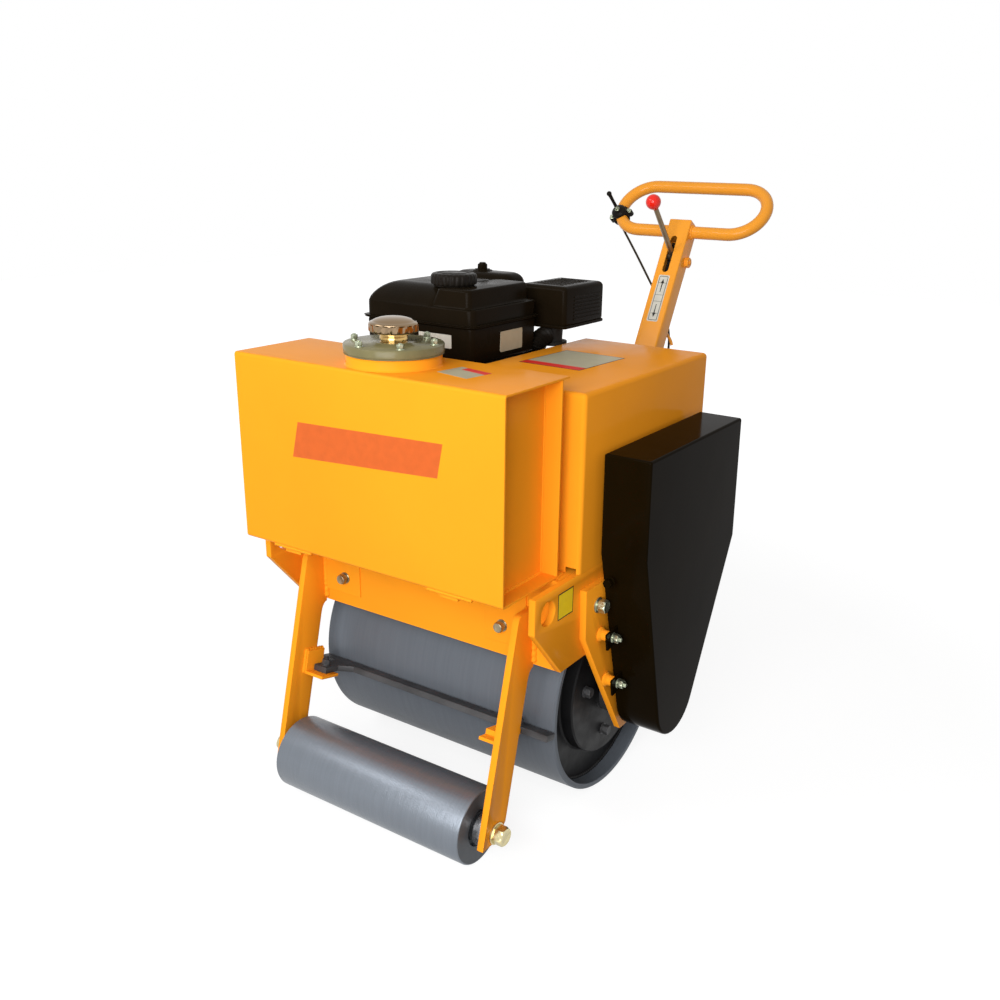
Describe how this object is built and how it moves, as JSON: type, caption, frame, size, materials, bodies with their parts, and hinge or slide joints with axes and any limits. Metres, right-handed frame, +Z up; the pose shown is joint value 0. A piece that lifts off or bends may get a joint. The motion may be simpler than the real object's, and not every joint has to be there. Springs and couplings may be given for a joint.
{
  "type": "walk-behind single-drum roller",
  "caption": "Walk-behind compaction roller with a wide steel drum, a small front support roller, a front water tank, an engine, a side belt guard and a folding steering handle.",
  "frame": {"origin": "on the floor, at the middle of the machine's footprint", "axes": "+Z up, +Y towards the operator's handle, -Y towards the water tank and support roller, +X towards the belt guard; the drum's axle is parallel to X"},
  "size_m": [0.836, 1.4413, 1.2358],
  "materials": {
    "yellow_paint": "glossy orange-yellow paint",
    "engine_casting": "black painted casting",
    "engine_black_paint": "semi-gloss black",
    "guard_black_paint": "gloss black",
    "dark_steel": "dark worn steel",
    "black_plastic": "moulded black",
    "cable_sheath": "black sheath",
    "drum_steel": "turned steel, blue-grey",
    "roller_steel": "turned steel, bright",
    "zinc_steel": "yellow zinc plated",
    "filler_flange_resin": "greenish grey",
    "brass_neck": "plain",
    "chrome_cap": "polished",
    "lever_steel": "dull",
    "red_plastic": "gloss"
  },
  "bodies": {
    "machine": {"side_plate_left": "yellow_paint", "side_plate_right": "yellow_paint", "yoke_plate_left": "yellow_paint", "yoke_plate_right": "yellow_paint", "bearing_housing_left": "dark_steel", "bearing_housing_right": "dark_steel", "drum_drive_motor": "dark_steel", "cross_plate_front": "yellow_paint", "cross_plate_rear": "yellow_paint", "deck_plate": "yellow_paint", "roller_axle": "zinc_steel", "support_arm_left": "yellow_paint", "support_arm_right": "yellow_paint", "scraper_bracket_left": "yellow_paint", "scraper_bracket_right": "yellow_paint", "scraper_bar": "dark_steel", "water_tank": "yellow_paint", "filler_collar": "yellow_paint", "filler_flange": "filler_flange_resin", "filler_neck": "brass_neck", "filler_cap": "chrome_cap", "hood": "yellow_paint", "belt_guard": "guard_black_paint", "engine_crankcase": "engine_casting", "engine_cylinder": "engine_casting", "recoil_starter": "engine_black_paint", "fuel_tank": "engine_black_paint", "fuel_cap": "black_plastic", "air_cleaner": "engine_black_paint", "muffler_guard": "engine_black_paint", "handle_bracket": "yellow_paint", "handle_pivot_pin": "zinc_steel", "throttle_cable_lower": "cable_sheath"},
    "drum": {"drum_shell": "drum_steel", "drum_end_left": "dark_steel", "drum_end_right": "dark_steel", "drum_exciter": "dark_steel"},
    "front_roller": {"support_roller": "roller_steel"},
    "handle": {"handle_arm": "yellow_paint", "handle_loop": "yellow_paint", "travel_lever": "lever_steel", "lever_knob": "red_plastic", "throttle_clamp": "black_plastic", "throttle_lever": "black_plastic", "throttle_cable_upper": "cable_sheath"}
  },
  "joints": [
    {"name": "drum_spin", "type": "hinge", "parent": "machine", "child": "drum", "pos_m": [-0.03, -0.252, 0.236], "axis": [1, 0, 0], "continuous": true},
    {"name": "front_roller_spin", "type": "hinge", "parent": "machine", "child": "front_roller", "pos_m": [-0.03, -0.644, 0.076], "axis": [1, 0, 0], "continuous": true},
    {"name": "handle_fold", "type": "hinge", "parent": "machine", "child": "handle", "pos_m": [-0.03, 0.228, 0.44], "axis": [-1, 0, 0], "range_deg": [-20, 40]}
  ]
}
